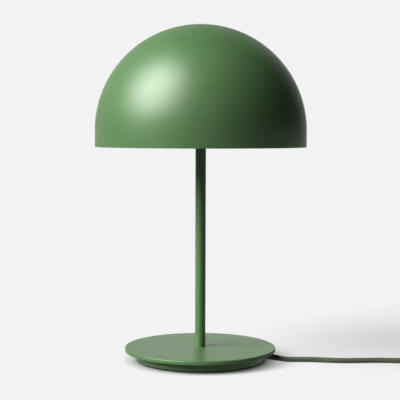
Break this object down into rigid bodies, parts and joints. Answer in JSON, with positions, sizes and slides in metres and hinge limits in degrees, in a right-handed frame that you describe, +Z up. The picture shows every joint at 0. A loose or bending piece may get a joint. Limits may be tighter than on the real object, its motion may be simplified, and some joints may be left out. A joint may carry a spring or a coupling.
{
  "type": "dome table lamp",
  "caption": "Table lamp with a dome shade on a thin stem, a round weighted foot, a screw-in opal bulb, and a covered cord with an in-line rocker switch and a flat plug.",
  "frame": {"origin": "centre of the foot's resting face, on the surface that the lamp stands on", "axes": "+Z up along the stem; the cord leaves the foot towards +X; -Y is the side that the picture shows"},
  "size_m": [0.546, 0.2965, 0.448],
  "materials": {
    "green_paint": "satin powder coat",
    "white_paint": "satin powder coat",
    "zinc_steel": "zinc plated",
    "nickel": "nickel plated",
    "brass": "satin",
    "felt": "felt",
    "black_rubber": "matte",
    "black_plastic": "fine texture",
    "white_plastic": "semi gloss",
    "green_textile": "braided cover",
    "brown_insulation": "smooth",
    "blue_insulation": "smooth",
    "opal_glass": "opal"
  },
  "bodies": {
    "lamp": {"base_pad": "felt", "base_cover": "zinc_steel", "base_cover_screws": "zinc_steel", "base_weight": "green_paint", "base_plate": "green_paint", "base_washer": "zinc_steel", "base_lock_washer": "zinc_steel", "base_nut": "brass", "lower_nipple": "zinc_steel", "cord_bush": "black_rubber", "cord_clamp": "zinc_steel", "cord_clamp_screws": "zinc_steel", "cord_inside": "green_textile", "live_wire": "brown_insulation", "neutral_wire": "blue_insulation", "stem": "green_paint", "upper_nipple": "zinc_steel", "holder_cap": "white_plastic", "holder_grub_screw": "zinc_steel", "holder_sleeve": "white_plastic", "holder_insert": "white_plastic", "holder_screw_shell": "brass", "holder_centre_contact": "brass", "holder_terminals": "brass", "holder_terminal_screws": "zinc_steel", "shade_ring_lower": "white_plastic", "shade_ring_upper": "white_plastic", "carrier_ring": "white_paint", "carrier_arms": "white_paint", "shade_studs": "zinc_steel", "stud_nuts": "zinc_steel", "shade": "green_paint", "cord_to_switch": "green_textile", "switch_base": "black_plastic", "switch_cover": "black_plastic", "switch_rocker_pin": "zinc_steel", "switch_contacts": "brass", "switch_screws": "zinc_steel", "cord_to_coil": "green_textile", "cord_coil": "green_textile", "cord_tail": "green_textile", "cord_tie": "black_rubber", "plug_body": "black_plastic", "plug_pins": "nickel", "plug_pin_sleeves": "black_plastic"},
    "rocker": {"switch_rocker": "black_plastic"},
    "bulb_travel": {"bulb_contact": "zinc_steel"},
    "bulb": {"bulb_glass": "opal_glass", "bulb_cap": "zinc_steel", "bulb_insulator": "black_plastic"}
  },
  "joints": [
    {"name": "switch_press", "type": "hinge", "parent": "lamp", "child": "rocker", "pos_m": [0.318, -0.021, 0.0124], "axis": [0, 1, 0], "range_deg": [0, 12]},
    {"name": "bulb_rise", "type": "slide", "parent": "lamp", "child": "bulb_travel", "axis": [0, 0, 1], "range_m": [0, 0.01452]},
    {"name": "bulb_turn", "type": "hinge", "parent": "bulb_travel", "child": "bulb", "pos_m": [0, 0, 0.3936], "axis": [0, 0, 1], "range_deg": [0, 1441]}
  ],
  "couplings": [
    {"joint": "bulb_turn", "follows": "bulb_rise", "rad_per_m": 1730.9}
  ]
}
